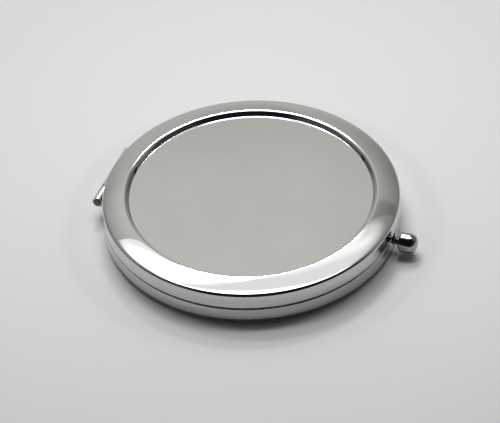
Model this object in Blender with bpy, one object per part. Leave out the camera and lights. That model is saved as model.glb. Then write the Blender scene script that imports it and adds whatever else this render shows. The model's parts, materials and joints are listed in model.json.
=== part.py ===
# Round pocket mirror: two plated shells on a rear hinge, two glasses and a push-button latch
# Units are metres, +Z up. The base stands on z = 0, the hinge is at +Y and the button at -Y.
import math

import bmesh
import bpy
from mathutils import Vector

# Case
CASE_RADIUS = 0.0351
SHEET = 0.0005
PARTING_GAP = 0.0003
EDGE_RADIUS = 0.00086
BEZEL_WIDTH = 0.005
BEZEL_INNER_SLOPE = math.radians(6)
BEZEL_OUTER_SLOPE = math.radians(15)
CREST_RADIUS = 0.0009
TRAY_DEPTH = 0.0011
TRAY_WALL_SLOPE = math.radians(60)
TRAY_FILLET = 0.0002

# Fits
SEAT_GAP = 0.0003
RUNNING_GAP = 0.0001
OVERRUN = 0.001
MERGE_DISTANCE = 0.000001

# Glasses, their foam discs and the frames that hold them
GLASS_THICKNESS = 0.0012
GLASS_SEAM = 0.00015
MAGNIFIER_DIP = 0.0006
PAD_INSET = 0.0014
LID_PAD_THICKNESS = 0.0004
BASE_PAD_THICKNESS = 0.0006
FRAME_SHEET = 0.0004
FRAME_INSET = 0.0001
FRAME_LIP_REACH = 0.001
FRAME_LIP_HEIGHT = 0.0007
FRAME_SKIRT_HEIGHT = 0.0008
FRAME_EASE = 0.0002

# Hinge
HINGE_OFFSET = 0.0004
HINGE_LENGTH = 0.0196
OUTER_KNUCKLE_LENGTH = 0.005
PIN_RADIUS = 0.0006
PIN_HEAD_RADIUS = 0.001
PIN_HEAD_THICKNESS = 0.0003
HINGE_SHEET = 0.0006
CURL_SLIT = 0.00015
LEAF_THICKNESS = 0.0005
LEAF_DROP = 0.0019
HINGE_CUT_DEPTH = 0.0035

# Push button
STEM_DROP = 0.00145
STEM_RADIUS = 0.0008
STEM_TAIL_RADIUS = 0.00045
KNOB_RADIUS = 0.0024
KNOB_LENGTH = 0.00425
KNOB_STANDOFF = 0.0015
KNOB_ROUND = 0.0013
KNOB_CHAMFER = 0.0004
KNOB_DOME = 0.0002
KNOB_DOME_SHARE = 0.5
KNOB_SOCKET = 0.0018
BUTTON_TRAVEL = 0.0009

# Latch slide, spring, bracket and catch
SLIDE_SHEET = 0.00045
SLIDE_HALF_WIDTH = 0.0039
SLIDE_BAR = 0.0007
SLIDE_SLOT_HALF_WIDTH = 0.0011
TAB_CLEARANCE = 0.00055
TAB_THICKNESS = 0.0004
TAB_STRIP = 0.0002
TAB_HALF_WIDTH = 0.0013
TAB_RIM = 0.0003
PRONG_CLEARANCE = 0.00035
PRONG_THICKNESS = 0.00045
PRONG_INNER_HALF = 0.0014
PRONG_SIDE_GAP = 0.0002
NOSE_REACH = 0.0007
NOSE_HEIGHT = 0.0004
NOSE_BITE = 0.0004
CATCH_PLATE_WIDTH = 0.0022
CATCH_PLATE_GAP = 0.00035
POST_THICKNESS = 0.0004
POST_HALF_WIDTH = 0.0008
POST_RIM = 0.0003
BRACKET_SHEET = 0.0003
BRACKET_LIFT = 0.00055
RAIL_LIP = 0.0006
RAIL_LENGTH = 0.0034
SPRING_WIRE = 0.00025
SPRING_TURNS = 3.5
SPRING_CLEARANCE = 0.00015

# Counts
ROUND_STEPS = 64
SMALL_STEPS = 24
ARC_STEPS = 4
BEZEL_STEPS = 2
CREST_STEPS = 4
EDGE_STEPS = 5
INNER_EDGE_STEPS = 2
EAR_STEPS = 8
CURL_POINTS = 10
WIRE_RESOLUTION = 1
FILLET_STEPS = 2
KNOB_STEPS = 32

# Angles in degrees, and millimetres in a metre for the printed gap
SHARP_ANGLE = 30
KNOB_ROUND_ANGLE = 75
MM_PER_METRE = 1000

# Heights that follow from the stack of pieces in each half
LID_HEIGHT = (FRAME_INSET + FRAME_LIP_HEIGHT + GLASS_THICKNESS + LID_PAD_THICKNESS
              + 3 * SEAT_GAP + SHEET + TRAY_DEPTH)
BASE_HEIGHT = (FRAME_INSET + FRAME_LIP_HEIGHT + GLASS_THICKNESS + MAGNIFIER_DIP
               + BASE_PAD_THICKNESS + 3 * SEAT_GAP + SHEET)
PARTING_Z = BASE_HEIGHT + PARTING_GAP / 2
LID_RIM_Z = BASE_HEIGHT + PARTING_GAP
TOP_Z = LID_RIM_Z + LID_HEIGHT

# Radii of the case
WALL_INSIDE = CASE_RADIUS - SHEET
CREST_CENTRE = CASE_RADIUS - BEZEL_WIDTH
TRAY_WALL_DROP = TRAY_DEPTH - CREST_RADIUS * (1 - math.cos(TRAY_WALL_SLOPE))
TRAY_RADIUS = (CREST_CENTRE - CREST_RADIUS * math.sin(TRAY_WALL_SLOPE)
               - TRAY_WALL_DROP / math.tan(TRAY_WALL_SLOPE))
FRAME_RADIUS = WALL_INSIDE - SEAT_GAP

# Latch: places are distances from the case's centre towards the button
TAB_OUTSIDE = WALL_INSIDE - TAB_CLEARANCE
TAB_INSIDE = TAB_OUTSIDE - TAB_THICKNESS
WINDOW_OUTSIDE = TAB_INSIDE - TAB_STRIP
PRONG_OUTSIDE = WINDOW_OUTSIDE - BUTTON_TRAVEL - PRONG_CLEARANCE
PRONG_INSIDE = PRONG_OUTSIDE - PRONG_THICKNESS
NOSE_TIP = PRONG_INSIDE - NOSE_REACH
WINDOW_INSIDE = NOSE_TIP + NOSE_BITE
POST_OUTSIDE = NOSE_TIP - SEAT_GAP
POST_INSIDE = POST_OUTSIDE - POST_THICKNESS
TAIL_END = POST_INSIDE + RUNNING_GAP
SLIDE_END = TAIL_END + RUNNING_GAP / 2
WINDOW_HALF_WIDTH = SLIDE_HALF_WIDTH - SLIDE_BAR
PRONG_OUTER_HALF = WINDOW_HALF_WIDTH - PRONG_SIDE_GAP
KNOB_INSIDE = CASE_RADIUS + KNOB_STANDOFF

# Latch heights, stacked down from the stem
STEM_Z = PARTING_Z - STEM_DROP
COIL_RADIUS = STEM_TAIL_RADIUS + SPRING_CLEARANCE + SPRING_WIRE / 2
SLIDE_TOP = STEM_Z - COIL_RADIUS - SPRING_WIRE / 2 - SPRING_CLEARANCE
SLIDE_BOTTOM = SLIDE_TOP - SLIDE_SHEET
NOSE_TOP = SLIDE_BOTTOM - SEAT_GAP
NOSE_BOTTOM = NOSE_TOP - NOSE_HEIGHT
BRACKET_BOTTOM = SHEET + BRACKET_LIFT

# The frames' inner leg stands inside the slide's travel, and the glass inside the leg
LEG_OUTSIDE = SLIDE_END - BUTTON_TRAVEL - SEAT_GAP
LEG_INSIDE = LEG_OUTSIDE - FRAME_SHEET
GLASS_RADIUS = LEG_INSIDE - SEAT_GAP

# Hinge places
HINGE_Y = CASE_RADIUS + HINGE_OFFSET
BORE_RADIUS = PIN_RADIUS + RUNNING_GAP
BARREL_RADIUS = BORE_RADIUS + HINGE_SHEET
HINGE_HALF = HINGE_LENGTH / 2
MIDDLE_HALF = HINGE_HALF - OUTER_KNUCKLE_LENGTH - SEAT_GAP
PIN_HALF = HINGE_HALF + RUNNING_GAP + PIN_HEAD_THICKNESS
HINGE_CUT_HALF = PIN_HALF + SEAT_GAP / 2
LEAF_OUTSIDE = WALL_INSIDE - SEAT_GAP
LEAF_INSIDE = LEAF_OUTSIDE - LEAF_THICKNESS
FRAME_CUT_Y = math.sqrt(LEAF_INSIDE ** 2 - HINGE_HALF ** 2) - SEAT_GAP

# How an outline's two numbers and its depth become x, y and z
PLANES = {
    "XY": lambda a, b, depth: (a, b, depth),
    "XZ": lambda a, b, depth: (a, depth, b),
    "YZ": lambda a, b, depth: (depth, a, b),
}


def clear_scene():
    """Remove whatever the open file holds."""
    for item in list(bpy.data.objects):
        bpy.data.objects.remove(item, do_unlink=True)


def finish(name, colour, roughness, metallic):
    """A plain Principled material."""
    material = bpy.data.materials.new(name)
    material.use_nodes = True
    shader = material.node_tree.nodes["Principled BSDF"]
    shader.inputs["Base Color"].default_value = (*colour, 1)
    shader.inputs["Roughness"].default_value = roughness
    shader.inputs["Metallic"].default_value = metallic
    return material


def place(name, mesh, material, pivot=None):
    """Turn a bmesh into a named object, parented to its pivot without moving it."""
    bmesh.ops.recalc_face_normals(mesh, faces=mesh.faces)
    data = bpy.data.meshes.new(name)
    mesh.to_mesh(data)
    mesh.free()
    data.shade_smooth()
    data.set_sharp_from_angle(angle=math.radians(SHARP_ANGLE))
    thing = bpy.data.objects.new(name, data)
    bpy.context.collection.objects.link(thing)
    if material is not None:
        data.materials.append(material)
    if pivot is not None:
        thing.parent = pivot
        thing.location = -pivot.location
    return thing


def arc(across, up, radius, start, end, steps):
    """Points on an arc, angles in degrees measured from the outline's first axis."""
    points = []
    for step in range(steps + 1):
        angle = math.radians(start + (end - start) * step / steps)
        points.append((across + radius * math.cos(angle), up + radius * math.sin(angle)))
    return points


def turned(name, outline, material, pivot=None, steps=ROUND_STEPS, ring=False):
    """Spin a (radius, height) outline about Z; an outline that is no ring ends on the axis."""
    mesh = bmesh.new()
    points = [mesh.verts.new((radius, 0, height)) for radius, height in outline]
    pairs = list(zip(points, points[1:]))
    if ring:
        pairs.append((points[-1], points[0]))
    edges = [mesh.edges.new(pair) for pair in pairs]
    bmesh.ops.spin(mesh, geom=points + edges, cent=(0, 0, 0), axis=(0, 0, 1),
                   angle=math.tau, steps=steps, use_merge=True)
    bmesh.ops.remove_doubles(mesh, verts=mesh.verts, dist=MERGE_DISTANCE)
    return place(name, mesh, material, pivot)


def aim(thing, direction, point):
    """Point a turned piece's own axis along a direction, from a point given in world places."""
    thing.rotation_euler = Vector(direction).to_track_quat("Z", "Y").to_euler()
    anchor = thing.parent.location if thing.parent else Vector()
    thing.location = Vector(point) - anchor
    return thing


def extruded(name, outline, low, high, plane, material=None, pivot=None):
    """Extrude a closed outline across its plane from one depth to another."""
    spot = PLANES[plane]
    mesh = bmesh.new()
    face = mesh.faces.new([mesh.verts.new(spot(a, b, low)) for a, b in outline])
    swept = bmesh.ops.extrude_face_region(mesh, geom=[face])
    moved = [item for item in swept["geom"] if isinstance(item, bmesh.types.BMVert)]
    bmesh.ops.translate(mesh, verts=moved, vec=Vector(spot(0, 0, high)) - Vector(spot(0, 0, low)))
    return place(name, mesh, material, pivot)


def block(low_a, high_a, low_b, high_b):
    """A rectangle's outline."""
    return [(low_a, low_b), (high_a, low_b), (high_a, high_b), (low_a, high_b)]


def mirrored(half):
    """A whole outline from its half at positive first places."""
    return half + [(-a, b) for a, b in reversed(half) if a > 0]


def as_tool(thing):
    """Mark a solid that only cuts or joins another."""
    thing.hide_render = True
    thing.display_type = "WIRE"
    return thing


def combine(thing, tool, operation):
    """Join a tool to a piece or cut it away."""
    change = thing.modifiers.new(tool.name, "BOOLEAN")
    change.operation = operation
    change.solver = "EXACT"
    change.object = as_tool(tool)
    return thing


def pivot_point(name, spot):
    """An empty on a joint's axis, which carries the pieces that move with it."""
    pivot = bpy.data.objects.new(name, None)
    bpy.context.collection.objects.link(pivot)
    pivot.location = spot
    return pivot


def bezel_curve(inset):
    """Bezel and edge rounding at a depth below the outer skin, as radius and height below the crest."""
    bezel_radius = ((CASE_RADIUS - EDGE_RADIUS - CREST_CENTRE
                     - CREST_RADIUS * math.sin(BEZEL_INNER_SLOPE)
                     + EDGE_RADIUS * math.sin(BEZEL_OUTER_SLOPE))
                    / (math.sin(BEZEL_OUTER_SLOPE) - math.sin(BEZEL_INNER_SLOPE)))
    sunk = bezel_radius - CREST_RADIUS
    centre_r = CREST_CENTRE - sunk * math.sin(BEZEL_INNER_SLOPE)
    centre_z = -CREST_RADIUS - sunk * math.cos(BEZEL_INNER_SLOPE)
    edge_r = centre_r + (bezel_radius - EDGE_RADIUS) * math.sin(BEZEL_OUTER_SLOPE)
    edge_z = centre_z + (bezel_radius - EDGE_RADIUS) * math.cos(BEZEL_OUTER_SLOPE)
    inner = 90 - math.degrees(BEZEL_INNER_SLOPE)
    outer = 90 - math.degrees(BEZEL_OUTER_SLOPE)
    bezel = arc(centre_r, centre_z, bezel_radius - inset, inner, outer, BEZEL_STEPS)
    edge = arc(edge_r, edge_z, EDGE_RADIUS - inset, outer, 0, INNER_EDGE_STEPS if inset else EDGE_STEPS)
    return bezel + edge[1:]


def crest_curve(inset, steps):
    """Crest at a depth below the outer skin, from the tray's wall to its top."""
    start = 90 + math.degrees(TRAY_WALL_SLOPE)
    return arc(CREST_CENTRE, TOP_Z - CREST_RADIUS, CREST_RADIUS - inset, start, 90, steps)


def lid_outline():
    """Section of the lid shell: tray, sloping tray wall, crest, bezel, wall, and the same inside."""
    tray_z = TOP_Z - TRAY_DEPTH
    lean = math.tan(TRAY_WALL_SLOPE / 2)
    fillet_end = math.degrees(TRAY_WALL_SLOPE) - 90
    outline = [(0, tray_z)]
    outline += arc(TRAY_RADIUS - TRAY_FILLET * lean, tray_z + TRAY_FILLET, TRAY_FILLET, -90, fillet_end,
                   FILLET_STEPS)
    outline += crest_curve(0, CREST_STEPS)
    outline += [(radius, TOP_Z + down) for radius, down in bezel_curve(0)]
    outline += [(CASE_RADIUS, LID_RIM_Z), (WALL_INSIDE, LID_RIM_Z)]
    outline += [(radius, TOP_Z + down) for radius, down in reversed(bezel_curve(SHEET))]
    outline += reversed(crest_curve(SHEET, FILLET_STEPS))
    outline += [(TRAY_RADIUS + SHEET * lean, tray_z - SHEET), (0, tray_z - SHEET)]
    return outline


def base_outline():
    """Section of the base shell: flat back, bevel, wall, and the same inside."""
    outline = [(0, 0), (CREST_CENTRE, 0)]
    outline += [(radius, -down) for radius, down in bezel_curve(0)]
    outline += [(CASE_RADIUS, BASE_HEIGHT), (WALL_INSIDE, BASE_HEIGHT)]
    outline += [(radius, -down) for radius, down in reversed(bezel_curve(SHEET))]
    outline += [(CREST_CENTRE, SHEET), (0, SHEET)]
    return outline


def frame_outline(face_z, floor_z, up):
    """Section of a trim ring: lip over the glass, flat face, short skirt and the leg round the glass."""
    face = face_z
    back = face - up * FRAME_SHEET
    lip = face - up * FRAME_LIP_HEIGHT
    lip_radius = GLASS_RADIUS - FRAME_LIP_REACH
    skirt = back - up * FRAME_SKIRT_HEIGHT
    return [
        (lip_radius, lip),
        (lip_radius, face - up * 2 * FRAME_EASE),
        (lip_radius + FRAME_EASE, face - up * FRAME_EASE),
        (LEG_INSIDE, face),
        (FRAME_RADIUS - FRAME_EASE, face),
        (FRAME_RADIUS, face - up * FRAME_EASE),
        (FRAME_RADIUS, skirt),
        (FRAME_RADIUS - FRAME_SHEET, skirt),
        (FRAME_RADIUS - FRAME_SHEET, back),
        (LEG_OUTSIDE, back),
        (LEG_OUTSIDE, floor_z),
        (LEG_INSIDE, floor_z),
        (LEG_INSIDE, lip),
    ]


def stem_notch(name):
    """Cutter for the open-topped notch that the stem lies in."""
    radius = STEM_RADIUS + SEAT_GAP
    outline = arc(0, STEM_Z, radius, 180, 360, SMALL_STEPS // 2)
    outline += [(radius, BASE_HEIGHT + OVERRUN), (-radius, BASE_HEIGHT + OVERRUN)]
    return extruded(name, outline, -CASE_RADIUS - OVERRUN, -TAB_OUTSIDE + OVERRUN, "XZ")


def hinge_cut(name, low_z, high_z, pivot=None):
    """Cutter that opens a shell's wall round the barrel."""
    outline = block(-HINGE_CUT_HALF, HINGE_CUT_HALF, HINGE_Y - HINGE_CUT_DEPTH, HINGE_Y + BARREL_RADIUS)
    return extruded(name, outline, low_z, high_z, "XY", pivot=pivot)


def make_base_shell(chrome):
    shell = turned("base_shell", base_outline(), chrome)
    cut_low = PARTING_Z - BARREL_RADIUS - SEAT_GAP
    combine(shell, hinge_cut("base_hinge_cut", cut_low, BASE_HEIGHT + OVERRUN), "DIFFERENCE")
    combine(shell, stem_notch("stem_notch_cut"), "DIFFERENCE")


def make_lid_shell(chrome, pivot):
    shell = turned("lid_shell", lid_outline(), chrome, pivot)
    cut_high = PARTING_Z + BARREL_RADIUS + SEAT_GAP
    combine(shell, hinge_cut("lid_hinge_cut", LID_RIM_Z - OVERRUN, cut_high, pivot), "DIFFERENCE")


def make_frame(name, face_z, floor_z, up, window, material, pivot=None):
    """A trim ring, cut away behind at the hinge and in front for the latch."""
    frame = turned(name, frame_outline(face_z, floor_z, up), material, pivot, ring=True)
    low_z = min(face_z, floor_z) - OVERRUN
    high_z = max(face_z, floor_z) + OVERRUN
    rear = block(-HINGE_CUT_HALF, HINGE_CUT_HALF, FRAME_CUT_Y, CASE_RADIUS)
    combine(frame, extruded(name + "_hinge_cut", rear, low_z, high_z, "XY", pivot=pivot), "DIFFERENCE")
    combine(frame, extruded(name + "_latch_cut", window, low_z, high_z, "XY", pivot=pivot), "DIFFERENCE")


def make_frames(chrome, pivot):
    """The base's window shows the whole latch, the lid's only lets the prongs through."""
    half = SLIDE_HALF_WIDTH - SLIDE_BAR / 2
    base_window = block(-half, half, -CASE_RADIUS, -(POST_INSIDE - SEAT_GAP))
    make_frame("base_frame", BASE_HEIGHT - FRAME_INSET, SHEET + SEAT_GAP, 1, base_window, chrome)
    reach = PRONG_OUTSIDE + SEAT_GAP
    lid_window = block(-half, half, -reach, -(NOSE_TIP - SEAT_GAP))
    lid_floor = TOP_Z - TRAY_DEPTH - SHEET - SEAT_GAP
    make_frame("lid_frame", LID_RIM_Z + FRAME_INSET, lid_floor, -1, lid_window, chrome, pivot)


def bowl(dip, steps, radius):
    """Heights of a shallow bowl from its rim to its centre, as radius and height above the centre."""
    return [(radius * step / steps, dip * (step / steps) ** 2) for step in range(steps, -1, -1)]


def make_lid_glass(glass, foam, pivot):
    face_z = LID_RIM_Z + FRAME_INSET + FRAME_LIP_HEIGHT + SEAT_GAP
    back_z = face_z + GLASS_THICKNESS
    outline = [(0, face_z), (GLASS_RADIUS - GLASS_SEAM, face_z), (GLASS_RADIUS, face_z + GLASS_SEAM),
               (GLASS_RADIUS, back_z - GLASS_SEAM), (GLASS_RADIUS - GLASS_SEAM, back_z), (0, back_z)]
    turned("lid_mirror", outline, glass, pivot)
    pad_z = back_z + SEAT_GAP
    pad_radius = GLASS_RADIUS - PAD_INSET
    pad = [(0, pad_z), (pad_radius, pad_z), (pad_radius, pad_z + LID_PAD_THICKNESS),
           (0, pad_z + LID_PAD_THICKNESS)]
    turned("lid_mirror_pad", pad, foam, pivot)


def make_base_glass(glass, foam):
    """The magnifying glass is one bent sheet, and its foam fills the space below it."""
    pad_z = SHEET + SEAT_GAP
    back_z = pad_z + BASE_PAD_THICKNESS + SEAT_GAP
    flat_radius = GLASS_RADIUS - GLASS_SEAM
    curve = bowl(MAGNIFIER_DIP, ARC_STEPS, flat_radius)
    face = [(radius, back_z + GLASS_THICKNESS + height) for radius, height in curve]
    back = [(radius, back_z + height) for radius, height in reversed(curve)]
    rim = [(GLASS_RADIUS, back_z + MAGNIFIER_DIP + GLASS_SEAM),
           (GLASS_RADIUS, back_z + MAGNIFIER_DIP + GLASS_THICKNESS - GLASS_SEAM)]
    turned("base_mirror", back + rim + face, glass)
    pad_radius = GLASS_RADIUS - PAD_INSET
    pad_dip = MAGNIFIER_DIP * (pad_radius / flat_radius) ** 2
    top = [(radius, pad_z + BASE_PAD_THICKNESS + height)
           for radius, height in bowl(pad_dip, ARC_STEPS, pad_radius)]
    turned("base_mirror_pad", [(0, pad_z), (pad_radius, pad_z)] + top, foam)


def leaf_arc(radius, low_x, high_x):
    """Points on a circle about the case's centre, from one x to another, on the hinge side."""
    start = math.degrees(math.acos(low_x / radius))
    end = math.degrees(math.acos(high_x / radius))
    return arc(0, 0, radius, start, end, ARC_STEPS)


def make_knuckle(name, low_x, high_x, up, material, pivot=None):
    """A strip curled round the pin, whose leaf runs into the case and along the inside of its wall."""
    barrel = turned(name, [(BORE_RADIUS, low_x), (BARREL_RADIUS, low_x), (BARREL_RADIUS, high_x),
                           (BORE_RADIUS, high_x)], material, pivot, SMALL_STEPS, ring=True)
    aim(barrel, (1, 0, 0), (0, HINGE_Y, PARTING_Z))
    web_far = PARTING_Z + up * BARREL_RADIUS
    web_near = web_far - up * HINGE_SHEET
    web_low, web_high = min(web_far, web_near), max(web_far, web_near)
    slit_far = web_near - up * CURL_SLIT
    slit = block(HINGE_Y - BARREL_RADIUS - OVERRUN, HINGE_Y - BORE_RADIUS / 2, min(slit_far, web_near),
                 max(slit_far, web_near))
    combine(barrel, extruded(name + "_slit", slit, low_x - OVERRUN, high_x + OVERRUN, "YZ", pivot=pivot),
            "DIFFERENCE")
    web = leaf_arc(LEAF_INSIDE, low_x, high_x) + [(high_x, HINGE_Y), (low_x, HINGE_Y)]
    combine(barrel, extruded(name + "_web", web, web_low, web_high, "XY", pivot=pivot), "UNION")
    leaf = leaf_arc(LEAF_INSIDE, low_x, high_x) + leaf_arc(LEAF_OUTSIDE, high_x, low_x)
    leaf_end = web_far + up * LEAF_DROP
    leaf_low, leaf_high = min(leaf_end, web_near), max(leaf_end, web_near)
    combine(barrel, extruded(name + "_leaf", leaf, leaf_low, leaf_high, "XY", pivot=pivot), "UNION")


def make_hinge(chrome, steel, pivot):
    inner_end = HINGE_HALF - OUTER_KNUCKLE_LENGTH
    make_knuckle("base_knuckle_left", -HINGE_HALF, -inner_end, -1, chrome)
    make_knuckle("base_knuckle_right", inner_end, HINGE_HALF, -1, chrome)
    make_knuckle("lid_hinge_knuckle", -MIDDLE_HALF, MIDDLE_HALF, 1, chrome, pivot)
    head = HINGE_HALF + RUNNING_GAP
    half = [(PIN_RADIUS, 0), (PIN_RADIUS, head), (PIN_HEAD_RADIUS, head)]
    half += [(PIN_HEAD_RADIUS, PIN_HALF - PIN_HEAD_THICKNESS / 2), (PIN_RADIUS, PIN_HALF), (0, PIN_HALF)]
    outline = [(radius, -along) for radius, along in reversed(half)] + half[1:]
    pin = turned("hinge_pin", outline, steel, steps=SMALL_STEPS)
    aim(pin, (1, 0, 0), (0, HINGE_Y, PARTING_Z))


def make_button(chrome, steel, pivot):
    """Knob and stepped stem, turned about the button's axis."""
    towards = (0, -1, 0)
    outer = KNOB_INSIDE + KNOB_LENGTH
    flat = KNOB_RADIUS - KNOB_ROUND
    socket = STEM_RADIUS + RUNNING_GAP
    socket_end = KNOB_INSIDE + KNOB_SOCKET
    outline = [(0, socket_end), (socket, socket_end), (socket, KNOB_INSIDE),
               (KNOB_RADIUS - KNOB_CHAMFER, KNOB_INSIDE), (KNOB_RADIUS, KNOB_INSIDE + KNOB_CHAMFER)]
    outline += arc(flat, outer - KNOB_DOME - KNOB_ROUND, KNOB_ROUND, 0, KNOB_ROUND_ANGLE, EDGE_STEPS)
    outline += [(flat * KNOB_DOME_SHARE, outer - KNOB_DOME * KNOB_DOME_SHARE ** 2), (0, outer)]
    knob = turned("button_knob", outline, chrome, pivot, KNOB_STEPS)
    aim(knob, towards, (0, 0, STEM_Z))
    shoulder = TAB_OUTSIDE + RUNNING_GAP
    stem_end = socket_end - RUNNING_GAP
    stem_outline = [(0, TAIL_END), (STEM_TAIL_RADIUS, TAIL_END), (STEM_TAIL_RADIUS, shoulder),
                    (STEM_RADIUS, shoulder), (STEM_RADIUS, stem_end), (0, stem_end)]
    stem = turned("button_stem", stem_outline, steel, pivot, SMALL_STEPS)
    aim(stem, towards, (0, 0, STEM_Z))


def stem_hole(name, inside, outside, pivot=None):
    """Cutter for the hole that the stem's thin end passes through."""
    radius = STEM_TAIL_RADIUS + RUNNING_GAP
    outline = [(0, inside - RUNNING_GAP), (radius, inside - RUNNING_GAP), (radius, outside + RUNNING_GAP),
               (0, outside + RUNNING_GAP)]
    hole = turned(name, outline, None, pivot, SMALL_STEPS)
    return aim(hole, (0, -1, 0), (0, 0, STEM_Z))


def upright(half_width, low_z, rim):
    """Outline of an ear with a round top about the stem's axis."""
    radius = STEM_TAIL_RADIUS + RUNNING_GAP + rim
    top = arc(0, STEM_Z, radius, 0, 180, EAR_STEPS)
    return [(-half_width, low_z), (half_width, low_z), (half_width, STEM_Z)] + top + [(-half_width, STEM_Z)]


def make_slide(steel, pivot):
    """Slotted plate with a window, and the tab that the stem is fixed to."""
    half = [(0, -TAB_OUTSIDE), (SLIDE_HALF_WIDTH, -TAB_OUTSIDE), (SLIDE_HALF_WIDTH, -SLIDE_END),
            (SLIDE_SLOT_HALF_WIDTH, -SLIDE_END), (SLIDE_SLOT_HALF_WIDTH, -WINDOW_INSIDE),
            (WINDOW_HALF_WIDTH, -WINDOW_INSIDE), (WINDOW_HALF_WIDTH, -WINDOW_OUTSIDE), (0, -WINDOW_OUTSIDE)]
    slide = extruded("latch_slide", mirrored(half), SLIDE_BOTTOM, SLIDE_TOP, "XY", steel, pivot)
    tab = upright(TAB_HALF_WIDTH, SLIDE_BOTTOM, TAB_RIM)
    combine(slide, extruded("slide_tab", tab, -TAB_OUTSIDE, -TAB_INSIDE, "XZ", pivot=pivot), "UNION")
    combine(slide, stem_hole("slide_hole", TAB_INSIDE, TAB_OUTSIDE, pivot), "DIFFERENCE")


def make_bracket(steel):
    """Two lipped rails joined by a cross plate, with the post that holds the stem's end."""
    outside = POST_OUTSIDE
    inside = LEG_OUTSIDE + SEAT_GAP
    rail_inside = SLIDE_HALF_WIDTH + SEAT_GAP
    rail_outside = rail_inside + BRACKET_SHEET
    floor_top = BRACKET_BOTTOM + BRACKET_SHEET
    lip_bottom = SLIDE_TOP + SEAT_GAP
    lip_top = lip_bottom + BRACKET_SHEET
    cross = block(-rail_outside, rail_outside, -outside, -inside)
    bracket = extruded("latch_bracket", cross, BRACKET_BOTTOM, floor_top, "XY", steel)
    post = upright(POST_HALF_WIDTH, BRACKET_BOTTOM, POST_RIM)
    combine(bracket, extruded("bracket_post", post, -POST_OUTSIDE, -POST_INSIDE, "XZ"), "UNION")
    section = [(rail_inside - RAIL_LIP, BRACKET_BOTTOM), (rail_outside, BRACKET_BOTTOM),
               (rail_outside, lip_top), (rail_inside - RAIL_LIP, lip_top),
               (rail_inside - RAIL_LIP, lip_bottom), (rail_inside, lip_bottom),
               (rail_inside, floor_top), (rail_inside - RAIL_LIP, floor_top)]
    for side, label in ((1, "right"), (-1, "left")):
        outline = [(side * across, height) for across, height in section]
        rail = extruded("bracket_rail_" + label, outline, -inside - RAIL_LENGTH, -inside, "XZ")
        combine(bracket, rail, "UNION")
    combine(bracket, stem_hole("bracket_hole", POST_INSIDE, POST_OUTSIDE), "DIFFERENCE")


def make_catch(steel, pivot):
    """A plate under the bezel whose two prongs reach down through the slide's window."""
    plate_outside = PRONG_INSIDE + CATCH_PLATE_WIDTH
    below_crest = [down for radius, down in bezel_curve(SHEET) if radius > plate_outside]
    plate_top = TOP_Z + below_crest[0] - CATCH_PLATE_GAP
    plate = block(-PRONG_OUTER_HALF, PRONG_OUTER_HALF, -plate_outside, -PRONG_INSIDE)
    catch = extruded("lid_catch", plate, plate_top - PRONG_THICKNESS, plate_top, "XY", steel, pivot)
    prong = [(-PRONG_INSIDE, plate_top), (-PRONG_OUTSIDE, plate_top), (-PRONG_OUTSIDE, NOSE_BOTTOM),
             (-PRONG_INSIDE, NOSE_BOTTOM), (-NOSE_TIP, NOSE_TOP), (-PRONG_INSIDE, NOSE_TOP)]
    for side, label in ((1, "right"), (-1, "left")):
        ends = sorted((side * PRONG_INNER_HALF, side * PRONG_OUTER_HALF))
        tool = extruded("catch_prong_" + label, prong, ends[0], ends[1], "YZ", pivot=pivot)
        combine(catch, tool, "UNION")


def least_gap(points, turn):
    """Smallest space between a coil's own turns."""
    gaps = []
    for index, point in enumerate(points):
        for other in points[index + turn // 2 + 1:]:
            gaps.append((point - other).length)
    return min(gaps) - SPRING_WIRE


def make_spring(steel, pivot):
    """Coil between the bracket's post and the slide's tab, from a formula."""
    start = POST_OUTSIDE + RUNNING_GAP + SPRING_WIRE / 2
    length = TAB_INSIDE - RUNNING_GAP - SPRING_WIRE / 2 - start
    count = round(SPRING_TURNS * CURL_POINTS)
    points = []
    for index in range(count + 1):
        share = index / count
        angle = math.tau * SPRING_TURNS * share
        points.append(Vector((COIL_RADIUS * math.cos(angle), -start - length * share,
                              STEM_Z + COIL_RADIUS * math.sin(angle))))
    curve = bpy.data.curves.new("latch_spring", "CURVE")
    curve.dimensions = "3D"
    curve.bevel_depth = SPRING_WIRE / 2
    curve.bevel_resolution = WIRE_RESOLUTION
    curve.use_fill_caps = True
    spline = curve.splines.new("POLY")
    spline.points.add(len(points) - 1)
    for spot, point in zip(spline.points, points):
        spot.co = (*(point - pivot.location), 1)
    curve.materials.append(steel)
    spring = bpy.data.objects.new("latch_spring", curve)
    bpy.context.collection.objects.link(spring)
    spring.location = pivot.location
    gap = least_gap(points, CURL_POINTS) * MM_PER_METRE
    print("least gap of the latch spring to itself, mm:", round(gap, 3))


def build():
    clear_scene()
    chrome = finish("chrome", (0.62, 0.62, 0.61), 0.06, 1)
    steel = finish("steel", (0.5, 0.5, 0.5), 0.25, 1)
    glass = finish("mirror_glass", (0.86, 0.88, 0.87), 0.01, 1)
    foam = finish("foam", (0.8, 0.8, 0.78), 0.9, 0)
    lid_pivot = pivot_point("lid_pivot", (0, HINGE_Y, PARTING_Z))
    button_guide = pivot_point("button_guide", (0, 0, STEM_Z))
    make_base_shell(chrome)
    make_lid_shell(chrome, lid_pivot)
    make_frames(chrome, lid_pivot)
    make_lid_glass(glass, foam, lid_pivot)
    make_base_glass(glass, foam)
    make_hinge(chrome, steel, lid_pivot)
    make_button(chrome, steel, button_guide)
    make_slide(steel, button_guide)
    make_bracket(steel)
    make_catch(steel, lid_pivot)
    make_spring(steel, button_guide)


build()
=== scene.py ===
import json
import math

import bmesh
import bpy
from mathutils import Matrix, Vector


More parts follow.
